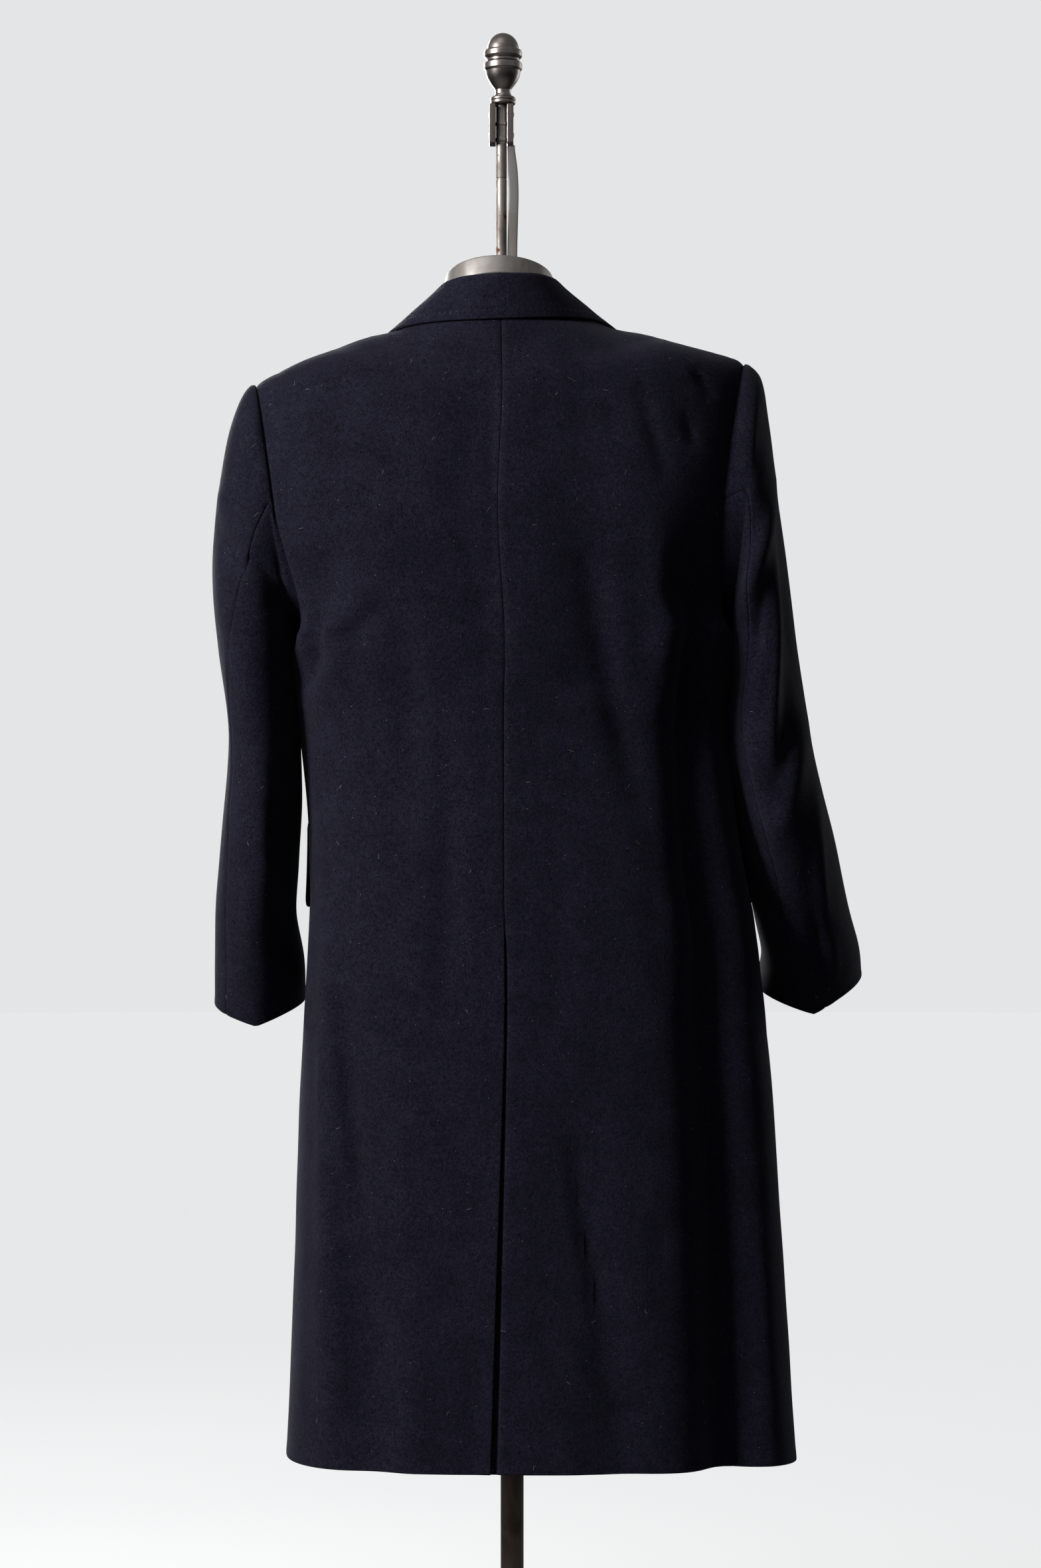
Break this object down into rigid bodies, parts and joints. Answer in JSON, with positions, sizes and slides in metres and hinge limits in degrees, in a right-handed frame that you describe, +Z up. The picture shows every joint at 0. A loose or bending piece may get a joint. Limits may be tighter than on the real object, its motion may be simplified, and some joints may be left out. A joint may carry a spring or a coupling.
{
  "type": "wool overcoat on dress form",
  "caption": "Long dark wool overcoat with a notched collar, set-in sleeves, hip flaps and a back vent, worn by a limbless dress form on a pole stand.",
  "frame": {"origin": "middle of the stand base's underside, on the pole's axis", "axes": "+Z up; the front of the coat faces -Y and its back faces +Y; +X is the wearer's left"},
  "size_m": [0.6354, 0.38, 1.7687],
  "materials": {
    "navy_wool": "napped wool melton, dark navy, matt",
    "dark_horn": "dark horn, soft polish",
    "form_linen": "natural linen cover, matt",
    "rusty_steel": "worn steel with brown rust",
    "worn_steel": "turned steel, tarnished",
    "black_iron": "black cast iron"
  },
  "bodies": {
    "root": {"back_left": "navy_wool", "back_right": "navy_wool", "front_left": "navy_wool", "front_right": "navy_wool", "upper_sleeve_left": "navy_wool", "upper_sleeve_right": "navy_wool", "under_sleeve_left": "navy_wool", "under_sleeve_right": "navy_wool", "collar": "navy_wool", "lapel_left": "navy_wool", "lapel_right": "navy_wool", "pocket_flap_left": "navy_wool", "pocket_flap_right": "navy_wool", "button_1": "dark_horn", "button_2": "dark_horn", "button_3": "dark_horn", "dress_form": "form_linen", "neck_cap": "rusty_steel", "rod": "rusty_steel", "plate_left": "rusty_steel", "plate_right": "rusty_steel", "trigger_strap": "rusty_steel", "washer": "worn_steel", "finial": "worn_steel", "pole": "worn_steel", "base": "black_iron"}
  },
  "joints": []
}
